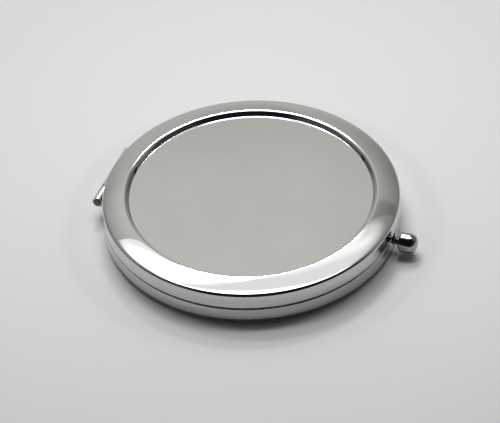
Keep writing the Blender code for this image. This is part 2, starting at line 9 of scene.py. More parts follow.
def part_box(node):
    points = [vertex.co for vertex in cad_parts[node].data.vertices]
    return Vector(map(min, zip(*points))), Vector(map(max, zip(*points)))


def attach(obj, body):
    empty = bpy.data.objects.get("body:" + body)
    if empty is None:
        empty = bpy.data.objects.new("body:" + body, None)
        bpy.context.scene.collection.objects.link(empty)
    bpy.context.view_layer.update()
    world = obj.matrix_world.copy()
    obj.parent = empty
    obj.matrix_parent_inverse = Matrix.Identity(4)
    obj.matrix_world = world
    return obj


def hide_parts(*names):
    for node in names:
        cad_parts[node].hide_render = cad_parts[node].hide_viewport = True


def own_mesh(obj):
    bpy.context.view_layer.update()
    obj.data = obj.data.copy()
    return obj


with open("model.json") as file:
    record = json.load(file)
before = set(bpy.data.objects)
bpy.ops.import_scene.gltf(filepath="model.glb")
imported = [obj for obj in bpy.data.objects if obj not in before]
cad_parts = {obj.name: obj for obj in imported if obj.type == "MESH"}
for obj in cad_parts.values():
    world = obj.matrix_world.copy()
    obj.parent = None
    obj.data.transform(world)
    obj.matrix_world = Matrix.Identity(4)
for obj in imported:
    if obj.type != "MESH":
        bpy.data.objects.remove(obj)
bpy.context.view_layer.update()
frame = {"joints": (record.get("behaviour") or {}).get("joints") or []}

# Places read from the frame
CASE_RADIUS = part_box("lid_shell")[1].x
TOP_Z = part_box("lid_shell")[1].z
LID_RIM_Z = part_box("lid_shell")[0].z
BASE_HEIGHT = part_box("base_shell")[1].z
LID_GLASS_LOW, LID_GLASS_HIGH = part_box("lid_mirror")
BASE_GLASS_LOW, BASE_GLASS_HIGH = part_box("base_mirror")
LID_PAD_LOW, LID_PAD_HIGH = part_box("lid_mirror_pad")
BASE_PAD_LOW, BASE_PAD_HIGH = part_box("base_mirror_pad")
LID_FRAME_LOW, LID_FRAME_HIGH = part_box("lid_frame")
BASE_FRAME_LOW, BASE_FRAME_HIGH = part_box("base_frame")
KNOB_LOW, KNOB_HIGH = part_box("button_knob")
STEM_LOW, STEM_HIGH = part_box("button_stem")
SLIDE_LOW, SLIDE_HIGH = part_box("latch_slide")
BRACKET_LOW, BRACKET_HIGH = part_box("latch_bracket")
CATCH_LOW, CATCH_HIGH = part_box("lid_catch")
PIN_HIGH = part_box("hinge_pin")[1]
JOINTS = {joint["name"]: joint for joint in frame["joints"]}
HINGE_Y, HINGE_Z = JOINTS["lid_hinge"]["pos_m"][1:]
STEM_Z = (KNOB_LOW.z + KNOB_HIGH.z) / 2

# Case sheet
SHEET = 0.0005
EDGE_RADIUS = 0.00086
BEZEL_WIDTH = 0.0052
BEZEL_INNER_SLOPE = math.radians(6)
BEZEL_OUTER_SLOPE = math.radians(15)
CREST_RADIUS = 0.0009
TRAY_DEPTH = 0.0011
TRAY_WALL_SLOPE = math.radians(60)
TRAY_FILLET = 0.00013
RIM_ROUND = 0.00028
EDGE_EASE = 0.00008
CREST_CENTRE = CASE_RADIUS - BEZEL_WIDTH
TRAY_WALL_DROP = TRAY_DEPTH - CREST_RADIUS * (1 - math.cos(TRAY_WALL_SLOPE))
TRAY_RADIUS = (CREST_CENTRE - CREST_RADIUS * math.sin(TRAY_WALL_SLOPE)
               - TRAY_WALL_DROP / math.tan(TRAY_WALL_SLOPE))
WALL_INSIDE = CASE_RADIUS - SHEET

# Glasses and frames
GLASS_SEAM = 0.00015
GLASS_THICKNESS = LID_GLASS_HIGH.z - LID_GLASS_LOW.z
GLASS_RADIUS = LID_GLASS_HIGH.x
MAGNIFIER_DIP = BASE_GLASS_HIGH.z - BASE_GLASS_LOW.z - GLASS_THICKNESS
PAD_EDGE = 0.0001
SEAT_GAP = 0.0003
RUNNING_GAP = 0.0001
FRAME_SHEET = 0.0004
FRAME_LIP_REACH = 0.001
FRAME_LIP_HEIGHT = 0.0007
FRAME_SKIRT_HEIGHT = 0.0008
FRAME_EASE = 0.0002
FRAME_ROUND = 0.00006
LEG_INSIDE = GLASS_RADIUS + SEAT_GAP
LEG_OUTSIDE = LEG_INSIDE + FRAME_SHEET
FRAME_RADIUS = BASE_FRAME_HIGH.x

# Hinge
HINGE_SHEET = 0.0006
BARREL_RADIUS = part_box("lid_hinge_knuckle")[1].y - HINGE_Y
BORE_RADIUS = BARREL_RADIUS - HINGE_SHEET
CURL_SLIT = 0.00015
LEAF_THICKNESS = 0.0005
LEAF_OUTSIDE = WALL_INSIDE - SEAT_GAP
LEAF_INSIDE = LEAF_OUTSIDE - LEAF_THICKNESS
HINGE_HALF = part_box("base_knuckle_right")[1].x
HINGE_CUT_HALF = PIN_HIGH.x + SEAT_GAP / 2
HINGE_CUT_DEPTH = 0.0035
PIN_RADIUS = 0.0006
PIN_HEAD_RADIUS = PIN_HIGH.y - HINGE_Y
PIN_HEAD_THICKNESS = 0.0003
PIN_HEAD_ROUND = 0.0002
PIN_HEAD_DOME = 0.00012
HINGE_EASE = 0.00004
KNUCKLE_NODES = {
    "base_rolled_knuckle_left": "base_knuckle_left",
    "base_rolled_knuckle_right": "base_knuckle_right",
    "lid_rolled_knuckle": "lid_hinge_knuckle",
}

# Button
KNOB_RADIUS = KNOB_HIGH.x
KNOB_ROUND = 0.0019
KNOB_CHAMFER = 0.0004
KNOB_DOME = 0.0002
KNOB_SOCKET = 0.0018
STEM_RADIUS = STEM_HIGH.x
STEM_TAIL_RADIUS = 0.00045
STEM_EASE = 0.00005

# Latch: places along its line are distances from the case's centre towards the button
TAB_THICKNESS = 0.0004
TAB_STRIP = 0.0002
TAB_RIM = 0.0003
TAB_HALF_WIDTH = 0.0013
TAB_OUTSIDE = -SLIDE_LOW.y
TAB_INSIDE = TAB_OUTSIDE - TAB_THICKNESS
SLIDE_SHEET = 0.00045
SLIDE_BAR = 0.0007
SLIDE_SLOT_HALF_WIDTH = 0.0011
SLIDE_END = -SLIDE_HIGH.y
SLIDE_HALF_WIDTH = SLIDE_HIGH.x
WINDOW_HALF_WIDTH = SLIDE_HALF_WIDTH - SLIDE_BAR
WINDOW_OUTSIDE = TAB_INSIDE - TAB_STRIP
PRONG_THICKNESS = 0.00045
PRONG_INNER_HALF = 0.0014
PRONG_OUTER_HALF = CATCH_HIGH.x
NOSE_HEIGHT = 0.0004
NOSE_BITE = 0.0004
NOSE_REACH = 0.0007
NOSE_TIP = -CATCH_HIGH.y
PRONG_INSIDE = NOSE_TIP + NOSE_REACH
PRONG_OUTSIDE = PRONG_INSIDE + PRONG_THICKNESS
WINDOW_INSIDE = NOSE_TIP + NOSE_BITE
POST_THICKNESS = 0.0004
POST_HALF_WIDTH = 0.0008
POST_RIM = 0.0003
POST_OUTSIDE = NOSE_TIP - SEAT_GAP
POST_INSIDE = POST_OUTSIDE - POST_THICKNESS
BRACKET_SHEET = 0.0003
RAIL_LIP = 0.0006
SPRING_WIRE = 0.00025
SPRING_TURNS = 3.5
SPRING_CLEARANCE = 0.00015
LATCH_EASE = 0.00004

# Steps of round surfaces
CASE_STEPS = 384
KNOB_STEPS = 128
SMALL_STEPS = 64
ARC_STEPS = 14
ROUND_STEPS = 6
WIRE_SIDES = 20
TURN_STEPS = 48
SHARP_ANGLE = math.radians(30)
EASE_SEGMENTS = 2
NORMAL_WEIGHT = 100
OVERRUN = 0.001
MERGE_DISTANCE = 0.0000005

# Camera: a long lens half a metre from the middle of the lid
CAMERA_AZIMUTH = math.radians(-158)
CAMERA_ELEVATION = math.radians(40.96427)
CAMERA_DISTANCE = 0.5
CAMERA_TARGET_Z = 0.00925
CAMERA_YAW = 0.00086
CAMERA_PITCH = -0.009402
CAMERA_ROLL = 0.0543171
CAMERA_LENS = 153.16
CAMERA_SENSOR = 36

# Ramps, here and below, are where a change starts and ends, then its two values unless they are 0 and 1.
# Noises are scale, detail and in some cases roughness. The tabletop comes first; its colour holds painted
# light and painted shade.
FLOOR_RADIUS = 3
FLOOR_DROP = 0.00005
FLOOR_STEPS = 96
# Painted light: the tabletop's colour is darker near the viewer and paler away from the viewer
FLOOR_NEAR_PAINTED_SHADE = (0.625, 0.613, 0.623, 1)
FLOOR_FAR_PAINTED_LIGHT = (0.915, 0.9, 0.908, 1)
FLOOR_SPECKLE = (0.9, 0.885, 0.895, 1)
FLOOR_PAINTED_LIGHT_SPAN = (-0.15, 0.15)
FLOOR_ROUGHNESS = (0.3, 0.7, 0.8, 0.9)
FLOOR_SPECULAR = 0.1
PAPER_NOISE = (900, 3)
SPECKLE_SHARE = (0, 1, 0, 0.03)
# Painted shade: the tabletop's colour darkens far out from the case and towards the near right
SHADE_BLACK = (0, 0, 0, 1)
OUTER_PAINTED_SHADE_SHARE = (0.045, 0.13, 0, 0.14)
# Painted shadow: a bluish darker ring on the tabletop round the case
SHADE_RING_START = (0.0375, 0.043, 0, 0.09)
SHADE_RING_END = (0.0475, 0.043)
SHADE_RING_COLOUR = (0.28, 0.28, 0.35, 1)
# Painted shade: the tabletop's colour darkens towards the near right corner
CORNER_PAINTED_SHADE_SHARE = (0.06, 0.13, 0, 0.07)

# Tints of the studio's light
WALL_TINT = (1, 1.01, 0.96, 1)
NEAR_TINT = (0.94, 0.94, 1.15, 1)
BOX_TINT = (0.985, 1.01, 1.015, 1)
NEAR_TINT_SIDE = (0.1, -0.1)

# Studio walls: upper and lower part of the far side, then the viewer's side
LEAST_HEIGHT = 0.05
FAR_SPLIT = (0.2, 0.42)
UPPER_TONE = (1.6, 1.08, 0.62, 0.765)
UPPER_RIGHT = (0.02, 0.45, 1, 0.42)
UPPER_LEFT = (-0.2, -0.5, 1, 0.5)
GAP_START = (0.935, 0.95)
GAP_END = (1.12, 1.05)
GAP_DEPTH = (0.18, 0.34, 0, 0.33)
DIP_DEPTH = (1.15, 1.27, 0, 0.12)
DIP_SIDES = (0.24, 0.14)
STREAK_DEPTH = (0.03, 0.09, 0, 0.06)
STREAK_END = (0.26, 0.16)
LOWER_TONE = (0.1, 0.8, 0.65, 0.41)
LOWER_RIGHT = (0.35, 0.85, 1, 0.4)
LOWER_LEFT = (-0.6, -0.85, 1, 0.3)
NEAR_START = (0.12, -0.08)
NEAR_TONE = (0.5, 0.95, 0.012, 0.2)
NEAR_LOW_TONE = (0.3, 0.9, 0, 0.2)
NEAR_LOW_TOP = (0.16, 0.06)
NEAR_RIGHT = (0.35, 0.85, 1, 0.3)
NEAR_LEFT = (-0.6, -0.85, 1, 0.5)

# Softbox overhead: near strip, middle and rear, left part with its core, and the lamp at the far edge
BOX_START = (0.08, 0.14)
BOX_END = (0.96, 0.84)
BOX_LEFT = (-0.6, -0.4)
BOX_RIGHT = (0.56, 0.32)
STRIP_END = (0.37, 0.29)
STRIP_LIGHT = (0.12, 0.3, 2.2, 10.8)
MIDDLE_START = (0.29, 0.36)
MIDDLE_END = (1.03, 0.94)
MIDDLE_END_SLOPE = 0.25
MIDDLE_LIGHT = (0.58, 0.74, 1.2, 1.6)
FADE_START = (0.72, 0.86)
FADE_DEPTH = (0.24, 0.3, 0, 0.32)
LEFT_START = (0.4, 0.5)
LEFT_END = (0.952, 0.934)
LEFT_END_SLOPE = 0.21
LEFT_SIDE = (-0.08, -0.24)
LEFT_SIDE_SLOPE = 0.6
LEFT_SIDE_PLACE = 0.48
LEFT_BLEND = (-0.12, -0.22)
LEFT_LIGHT = (0.62, 0.86, 3.0, 1.34)
CORE_START = (0.52, 0.6)
CORE_END = (0.77, 0.7)
CORE_LEFT = (-0.42, -0.36)
CORE_LIGHT = 19.0
LAMP_START = (0.86, 0.88)
LAMP_END = (1.0, 0.98)
LAMP_LEFT = (-0.1, -0.06)
LAMP_RIGHT = (0.19, 0.13)
LAMP_LIGHT = 45.0

# Plated metal: colour and roughness, then haze, hairlines and ripple
PLATE = ((0.602, 0.602, 0.592), 0.025)
TRIM_PLATE = ((0.66, 0.66, 0.65), 0.035)
# The knob's plate is darker than the case's: painted shade for the shadowed tabletop that its lower half
# reflects
KNOB_PLATE_WITH_PAINTED_SHADE = ((0.36, 0.36, 0.355), 0.025)
KNUCKLE_PLATE = ((0.602, 0.602, 0.592), 0.17)
PLATE_TONES = (0.97, 1.03)
HAZE_NOISE = (110, 4, 0.6)
HAZE_SPAN = (0.3, 0.7)
HAZE_ROUGHNESS = 0.01
HAIRLINES = ((0.5, 160, 9000, 0.68), (-0.9, 120, 7000, 0.7))
HAIRLINE_SOFTNESS = 0.06
HAIRLINE_ROUGHNESS = 0.02
RIPPLE_NOISE = (420, 1)
RIPPLE_HEIGHT = 0.0000012

# Silvered glass
GLASS_COLOUR = (0.86, 0.88, 0.87)
GLASS_TONES = (0.985, 1.01)
FILM_STRETCH = ((60, 260, 60), (0, 0, 0.7))
FILM_NOISE = (1, 3, 0.6)
FILM_ROUGHNESS = (0.45, 0.8, 0.008, 0.03)
COAT_WEIGHT = 0.5
COAT_ROUGHNESS = 0.01
COAT_IOR = 1.52

# Bare steel: colour, roughness, the grain's three scales and its turn
# The turned steel of the pin and stem is near black: a dark finish, deepened with painted shade
TURNED_STEEL_WITH_PAINTED_SHADE = ((0.1, 0.098, 0.098), 0.16, (300, 9000, 300))
STAMPED_STEEL = ((0.55, 0.55, 0.54), 0.24, (600, 7000, 600), (0, 0, 0.4))
SPRING_STEEL = ((0.5, 0.5, 0.5), 0.2, (2500, 2500, 2500))
STEEL_TONES = (0.88, 1.1)
BLOTCH_NOISE = (500, 3)
GRAIN_NOISE = (1, 2)
GRAIN_SPAN = (0.3, 0.7)
GRAIN_ROUGHNESS = 0.12
GRAIN_HEIGHT = 0.000003

# Foam
FOAM_COLOUR = (0.8, 0.8, 0.78)
FOAM_TONES = (0.93, 1.05)
FOAM_NOISE = (160, 2)
CELL_NOISE = (5200, 3, 0.7)
CELL_ROUGHNESS = (0.3, 0.7, 0.85, 1.0)
CELL_HEIGHT = 0.00006


def arc(across, up, radius, start, end, steps):
    """Points on an arc, angles in degrees measured from the outline's first axis."""
    points = []
    for step in range(steps + 1):
        angle = math.radians(start + (end - start) * step / steps)
        points.append((across + radius * math.cos(angle), up + radius * math.sin(angle)))
    return points


def rounded(corners, ring=False, steps=ROUND_STEPS):
    """An outline from (first, second, radius) corners, each corner rounded to its radius."""
    points = []
    last = len(corners) - 1
    for index, (first, second, radius) in enumerate(corners):
        corner = Vector((first, second))
        if radius == 0 or (not ring and index in (0, last)):
            points.append((first, second))
            continue
        before = (Vector(corners[index - 1][:2]) - corner).normalized()
        after = (Vector(corners[(index + 1) % len(corners)][:2]) - corner).normalized()
        half = before.angle(after) / 2
        centre = corner + (before + after).normalized() * (radius / math.sin(half))
        start = corner + before * (radius / math.tan(half)) - centre
        end = corner + after * (radius / math.tan(half)) - centre
        sweep = start.angle(end)
        for step in range(steps + 1):
            share = step / steps
            spoke = start * math.sin((1 - share) * sweep) + end * math.sin(share * sweep)
            points.append(tuple(centre + spoke / math.sin(sweep)))
    return points


def as_object(name, mesh):
    """A bmesh as a smooth-shaded object."""
    bmesh.ops.recalc_face_normals(mesh, faces=mesh.faces)
    data = bpy.data.meshes.new(name)
    mesh.to_mesh(data)
    mesh.free()
    thing = bpy.data.objects.new(name, data)
    bpy.context.scene.collection.objects.link(thing)
    shade(thing)
    return thing


def shade(thing):
    """Smooth shading that keeps the sharp edges."""
    thing.data.shade_smooth()
    thing.data.set_sharp_from_angle(angle=SHARP_ANGLE)


def turned(name, outline, steps=CASE_STEPS, ring=False):
    """Spin a (radius, height) outline about Z; an outline that is no ring ends on the axis."""
    mesh = bmesh.new()
    points = [mesh.verts.new((radius, 0, height)) for radius, height in outline]
    pairs = list(zip(points, points[1:]))
    if ring:
        pairs.append((points[-1], points[0]))
    edges = [mesh.edges.new(pair) for pair in pairs]
    bmesh.ops.spin(mesh, geom=points + edges, cent=(0, 0, 0), axis=(0, 0, 1),
                   angle=math.tau, steps=steps, use_merge=True)
    bmesh.ops.remove_doubles(mesh, verts=mesh.verts, dist=MERGE_DISTANCE)
    return as_object(name, mesh)


def aim(thing, direction, point):
    """Point a turned piece's own axis along a direction, from a point."""
    turn = Vector(direction).to_track_quat("Z", "Y").to_matrix().to_4x4()
    thing.data.transform(Matrix.Translation(point) @ turn)
    return thing


PLANES = {
    "XY": lambda first, second, depth: (first, second, depth),
    "XZ": lambda first, second, depth: (first, depth, second),
    "YZ": lambda first, second, depth: (depth, first, second),
}


def extruded(name, outline, low, high, plane):
    """Extrude a closed outline across its plane from one depth to another."""
    spot = PLANES[plane]
    mesh = bmesh.new()
    face = mesh.faces.new([mesh.verts.new(spot(first, second, low)) for first, second in outline])
    swept = bmesh.ops.extrude_face_region(mesh, geom=[face])
    moved = [item for item in swept["geom"] if isinstance(item, bmesh.types.BMVert)]
    bmesh.ops.translate(mesh, verts=moved, vec=Vector(spot(0, 0, high)) - Vector(spot(0, 0, low)))
    return as_object(name, mesh)


def block(low_a, high_a, low_b, high_b):
    """A rectangle's outline."""
    return [(low_a, low_b), (high_a, low_b), (high_a, high_b), (low_a, high_b)]


def settle(thing):
    """Keep the shape that the modifiers make, and drop them."""
    graph = bpy.context.evaluated_depsgraph_get()
    made = bpy.data.meshes.new_from_object(thing.evaluated_get(graph))
    thing.modifiers.clear()
    thing.data = made


def combine(thing, tool, operation):
    """Join a tool to a piece or cut it away, and remove the tool."""
    change = thing.modifiers.new("change", "BOOLEAN")
    change.operation = operation
    change.solver = "EXACT"
    change.object = tool
    settle(thing)
    bpy.data.objects.remove(tool, do_unlink=True)
    shade(thing)


def ease_edges(thing, width):
    """Take the sharp edges off a stamped piece."""
    bevel = thing.modifiers.new("eased edges", "BEVEL")
    bevel.width = width
    bevel.segments = EASE_SEGMENTS
    bevel.limit_method = "ANGLE"
    bevel.angle_limit = SHARP_ANGLE
    bevel.use_clamp_overlap = True
    settle(thing)
    shade(thing)
    return thing


def even_normals(thing):
    """Let flat faces keep flat reflections beside their small roundings."""
    weight = thing.modifiers.new("even normals", "WEIGHTED_NORMAL")
    weight.keep_sharp = True
    weight.weight = NORMAL_WEIGHT


def dress(thing, body, node, material):
    """Give a finished piece its normals, material and body, and hide its CAD node."""
    even_normals(thing)
    thing.data.materials.clear()
    thing.data.materials.append(material)
    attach(thing, body)
    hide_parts(node)


class Graph:
    """Short calls for the nodes of one material or world."""

    def __init__(self, tree):
        self.tree = tree

    def feed(self, socket, value):
        if isinstance(value, bpy.types.NodeSocket):
            self.tree.links.new(value, socket)
        else:
            socket.default_value = value

    def math(self, operation, *values):
        node = self.tree.nodes.new("ShaderNodeMath")
        node.operation = operation
        for socket, value in zip(node.inputs, values):
            self.feed(socket, value)
        return node.outputs[0]

    def times(self, first, *others):
        """The product of two or more numbers."""
        for value in others:
            first = self.math("MULTIPLY", first, value)
        return first

    def dot(self, vector, axis):
        node = self.tree.nodes.new("ShaderNodeVectorMath")
        node.operation = "DOT_PRODUCT"
        self.feed(node.inputs[0], vector)
        self.feed(node.inputs[1], axis)
        return node.outputs["Value"]

    def ramp(self, value, low, high, start=0.0, end=1.0):
        """Ease from start to end while the value goes from low to high."""
        node = self.tree.nodes.new("ShaderNodeMapRange")
        node.interpolation_type = "SMOOTHSTEP"
        for name, number in (("Value", value), ("From Min", low), ("From Max", high),
                             ("To Min", start), ("To Max", end)):
            self.feed(node.inputs[name], number)
        return node.outputs["Result"]

    def length(self, vector):
        node = self.tree.nodes.new("ShaderNodeVectorMath")
        node.operation = "LENGTH"
        self.feed(node.inputs[0], vector)
        return node.outputs["Value"]

    def lerp(self, factor, first, second):
        """Mix two numbers."""
        node = self.tree.nodes.new("ShaderNodeMix")
        node.data_type = "FLOAT"
        for index, value in ((0, factor), (2, first), (3, second)):
            self.feed(node.inputs[index], value)
        return node.outputs[0]

    def noise(self, vector, scale, detail, roughness=0.5):
        node = self.tree.nodes.new("ShaderNodeTexNoise")
        self.feed(node.inputs["Vector"], vector)
        node.inputs["Scale"].default_value = scale
        node.inputs["Detail"].default_value = detail
        node.inputs["Roughness"].default_value = roughness
        return node.outputs["Fac"]

    def stretch(self, vector, scale, turn=(0, 0, 0)):
        node = self.tree.nodes.new("ShaderNodeMapping")
        self.feed(node.inputs["Vector"], vector)
        node.inputs["Scale"].default_value = scale
        node.inputs["Rotation"].default_value = turn
        return node.outputs["Vector"]

    def blend(self, factor, first, second):
        """Mix two colours."""
        node = self.tree.nodes.new("ShaderNodeMix")
        node.data_type = "RGBA"
        self.feed(node.inputs["Factor"], factor)
        self.feed(node.inputs["A"], first)
        self.feed(node.inputs["B"], second)
        return node.outputs["Result"]

    def bump(self, height, distance):
        node = self.tree.nodes.new("ShaderNodeBump")
        self.feed(node.inputs["Height"], height)
        node.inputs["Distance"].default_value = distance
        node.inputs["Strength"].default_value = 1
        return node.outputs["Normal"]


def tones(graph, factor, colour, shares):
    """A colour that wanders between two shares of itself."""
    darker, paler = ((*(channel * share for channel in colour), 1) for share in shares)
    return graph.blend(factor, darker, paler)


def rightwards(away):
    """The level direction to the viewer's right."""
    return Vector((away.y, -away.x, 0))


def principled(name):
    """A new material, its Principled shader, its graph and its object coordinates."""
    material = bpy.data.materials.new(name)
    material.use_nodes = True
    tree = material.node_tree
    coordinates = tree.nodes.new("ShaderNodeTexCoord")
    return material, tree.nodes["Principled BSDF"], Graph(tree), coordinates.outputs["Object"]


def scratches(graph, coordinates, angle, length_scale, width_scale, rarity):
    """Sparse hairlines that run one way."""
    along = graph.stretch(coordinates, (length_scale, width_scale, length_scale), (0, 0, angle))
    return graph.ramp(graph.noise(along, 1, 1), rarity, rarity + HAIRLINE_SOFTNESS)


def chrome(name, colour, gloss):
    """Polished plate: even tone, faint haze and hairlines, the slight ripple of thin stamped sheet."""
    material, shader, graph, coordinates = principled(name)
    haze = graph.noise(coordinates, *HAZE_NOISE)
    first, second = (scratches(graph, coordinates, *values) for values in HAIRLINES)
    lines = graph.math("MAXIMUM", first, second)
    graph.feed(shader.inputs["Base Color"], tones(graph, haze, colour, PLATE_TONES))
    soft = graph.ramp(haze, *HAZE_SPAN, gloss, gloss + HAZE_ROUGHNESS)
    graph.feed(shader.inputs["Roughness"], graph.math("MULTIPLY_ADD", lines, HAIRLINE_ROUGHNESS, soft))
    shader.inputs["Metallic"].default_value = 1
    ripple = graph.noise(coordinates, *RIPPLE_NOISE)
    graph.feed(shader.inputs["Normal"], graph.bump(ripple, RIPPLE_HEIGHT))
    return material


def mirror_glass(name, colour):
    """Silvered glass under a clear front, with faint wiping marks."""
    material, shader, graph, coordinates = principled(name)
    film = graph.noise(graph.stretch(coordinates, *FILM_STRETCH), *FILM_NOISE)
    graph.feed(shader.inputs["Base Color"], tones(graph, film, colour, GLASS_TONES))
    graph.feed(shader.inputs["Roughness"], graph.ramp(film, *FILM_ROUGHNESS))
    shader.inputs["Metallic"].default_value = 1
    shader.inputs["Coat Weight"].default_value = COAT_WEIGHT
    shader.inputs["Coat Roughness"].default_value = COAT_ROUGHNESS
    shader.inputs["Coat IOR"].default_value = COAT_IOR
    return material


def steel(name, colour, gloss, grain, turn=(0, 0, 0)):
    """Bare steel with a fine grain; the grain's three scales say which way it runs."""
    material, shader, graph, coordinates = principled(name)
    lines = graph.noise(graph.stretch(coordinates, grain, turn), *GRAIN_NOISE)
    blotch = graph.noise(coordinates, *BLOTCH_NOISE)
    graph.feed(shader.inputs["Base Color"], tones(graph, blotch, colour, STEEL_TONES))
    rough = graph.ramp(lines, *GRAIN_SPAN, gloss, gloss + GRAIN_ROUGHNESS)
    graph.feed(shader.inputs["Roughness"], rough)
    shader.inputs["Metallic"].default_value = 1
    graph.feed(shader.inputs["Normal"], graph.bump(lines, GRAIN_HEIGHT))
    return material


def foam(name, colour):
    """Closed-cell foam with small open cells on its cut faces."""
    material, shader, graph, coordinates = principled(name)
    cells = graph.noise(coordinates, *CELL_NOISE)
    cloud = graph.noise(coordinates, *FOAM_NOISE)
    graph.feed(shader.inputs["Base Color"], tones(graph, cloud, colour, FOAM_TONES))
    graph.feed(shader.inputs["Roughness"], graph.ramp(cells, *CELL_ROUGHNESS))
    graph.feed(shader.inputs["Normal"], graph.bump(cells, CELL_HEIGHT))
    return material


def bezel_curve(inset):
    """Bezel and edge rounding at a depth below the outer skin, as radius and height below the crest."""
    bezel_radius = ((CASE_RADIUS - EDGE_RADIUS - CREST_CENTRE
                     - CREST_RADIUS * math.sin(BEZEL_INNER_SLOPE)
                     + EDGE_RADIUS * math.sin(BEZEL_OUTER_SLOPE))
                    / (math.sin(BEZEL_OUTER_SLOPE) - math.sin(BEZEL_INNER_SLOPE)))
    sunk = bezel_radius - CREST_RADIUS
    centre_r = CREST_CENTRE - sunk * math.sin(BEZEL_INNER_SLOPE)
    centre_z = -CREST_RADIUS - sunk * math.cos(BEZEL_INNER_SLOPE)
    edge_r = centre_r + (bezel_radius - EDGE_RADIUS) * math.sin(BEZEL_OUTER_SLOPE)
    edge_z = centre_z + (bezel_radius - EDGE_RADIUS) * math.cos(BEZEL_OUTER_SLOPE)
    inner = 90 - math.degrees(BEZEL_INNER_SLOPE)
    outer = 90 - math.degrees(BEZEL_OUTER_SLOPE)
    bezel = arc(centre_r, centre_z, bezel_radius - inset, inner, outer, ARC_STEPS)
    edge = arc(edge_r, edge_z, EDGE_RADIUS - inset, outer, 0, ARC_STEPS)
    return bezel + edge[1:]


def crest_curve(inset):
    """Crest at a depth below the outer skin, from the tray's wall to its top."""
    start = 90 + math.degrees(TRAY_WALL_SLOPE)
    return arc(CREST_CENTRE, TOP_Z - CREST_RADIUS, CREST_RADIUS - inset, start, 90, ARC_STEPS)


def lid_outline():
    """Section of the lid shell: tray, sloping tray wall, crest, bezel, rounded rim, and the same inside."""
    tray_z = TOP_Z - TRAY_DEPTH
    lean = math.tan(TRAY_WALL_SLOPE / 2)
    fillet_end = math.degrees(TRAY_WALL_SLOPE) - 90
    outline = [(0, tray_z)]
    outline += arc(TRAY_RADIUS - TRAY_FILLET * lean, tray_z + TRAY_FILLET, TRAY_FILLET, -90, fillet_end,
                   ROUND_STEPS)
    outline += crest_curve(0)
    outline += [(radius, TOP_Z + down) for radius, down in bezel_curve(0)]
    outline += rounded([(CASE_RADIUS, TOP_Z, 0), (CASE_RADIUS, LID_RIM_Z, RIM_ROUND),
                        (WALL_INSIDE, LID_RIM_Z, EDGE_EASE), (WALL_INSIDE, TOP_Z, 0)])[1:-1]
    outline += [(radius, TOP_Z + down) for radius, down in reversed(bezel_curve(SHEET))]
    outline += reversed(crest_curve(SHEET))
    outline += [(TRAY_RADIUS + SHEET * lean, tray_z - SHEET), (0, tray_z - SHEET)]
    return outline


def base_outline():
    """Section of the base shell: flat back, bevel, wall, rounded rim, and the same inside."""
    outline = [(0, 0), (CREST_CENTRE, 0)]
    outline += [(radius, -down) for radius, down in bezel_curve(0)]
    outline += rounded([(CASE_RADIUS, 0, 0), (CASE_RADIUS, BASE_HEIGHT, RIM_ROUND),
                        (WALL_INSIDE, BASE_HEIGHT, EDGE_EASE), (WALL_INSIDE, 0, 0)])[1:-1]
    outline += [(radius, -down) for radius, down in reversed(bezel_curve(SHEET))]
    outline += [(CREST_CENTRE, SHEET), (0, SHEET)]
    return outline


def hinge_cut(low_z, high_z):
    """Cutter that opens a shell's wall round the barrel."""
    outline = block(-HINGE_CUT_HALF, HINGE_CUT_HALF, HINGE_Y - HINGE_CUT_DEPTH, HINGE_Y + BARREL_RADIUS)
    return extruded("hinge_cut", outline, low_z, high_z, "XY")


def make_base_cover(plate):
    """The base shell, open at the hinge and notched for the stem."""
    cover = turned("base_cover", base_outline())
    combine(cover, hinge_cut(HINGE_Z - BARREL_RADIUS - SEAT_GAP, BASE_HEIGHT + OVERRUN), "DIFFERENCE")
    radius = STEM_RADIUS + SEAT_GAP
    notch = arc(0, STEM_Z, radius, 180, 360, SMALL_STEPS)
    notch += [(radius, BASE_HEIGHT + OVERRUN), (-radius, BASE_HEIGHT + OVERRUN)]
    cutter = extruded("stem_notch", notch, -CASE_RADIUS - OVERRUN, -TAB_OUTSIDE + OVERRUN, "XZ")
    combine(cover, cutter, "DIFFERENCE")
    dress(cover, "base", "base_shell", plate)


def make_lid_cover(plate):
    """The lid shell, open at the hinge."""
    cover = turned("lid_cover", lid_outline())
    combine(cover, hinge_cut(LID_RIM_Z - OVERRUN, HINGE_Z + BARREL_RADIUS + SEAT_GAP), "DIFFERENCE")
    dress(cover, "lid", "lid_shell", plate)


def trim_outline(face, floor, up):
    """Section of a trim ring: lip over the glass, flat face, short skirt and the leg round the glass."""
    back = face - up * FRAME_SHEET
    lip = face - up * FRAME_LIP_HEIGHT
    lip_radius = GLASS_RADIUS - FRAME_LIP_REACH
    skirt = back - up * FRAME_SKIRT_HEIGHT
    corners = [
        (lip_radius, lip, FRAME_ROUND),
        (lip_radius, face - up * FRAME_EASE * 2, FRAME_ROUND),
        (lip_radius + FRAME_EASE, face - up * FRAME_EASE, FRAME_EASE / 2),
        (LEG_INSIDE, face, 0),
        (FRAME_RADIUS, face, FRAME_EASE),
        (FRAME_RADIUS, skirt, FRAME_ROUND),
        (FRAME_RADIUS - FRAME_SHEET, skirt, FRAME_ROUND),
        (FRAME_RADIUS - FRAME_SHEET, back, 0),
        (LEG_OUTSIDE, back, 0),
        (LEG_OUTSIDE, floor, FRAME_ROUND),
        (LEG_INSIDE, floor, FRAME_ROUND),
        (LEG_INSIDE, lip, 0),
    ]
    return rounded(corners, ring=True)


def make_trim(name, face, floor, up, window):
    """A trim ring, cut away behind at the hinge and in front for the latch."""
    ring = turned(name, trim_outline(face, floor, up), ring=True)
    low_z = min(face, floor) - OVERRUN
    high_z = max(face, floor) + OVERRUN
    rear_y = math.sqrt(LEAF_INSIDE ** 2 - HINGE_HALF ** 2) - SEAT_GAP
    rear = block(-HINGE_CUT_HALF, HINGE_CUT_HALF, rear_y, CASE_RADIUS)
    combine(ring, extruded("rear_cut", rear, low_z, high_z, "XY"), "DIFFERENCE")
    combine(ring, extruded("latch_cut", window, low_z, high_z, "XY"), "DIFFERENCE")
    return ring


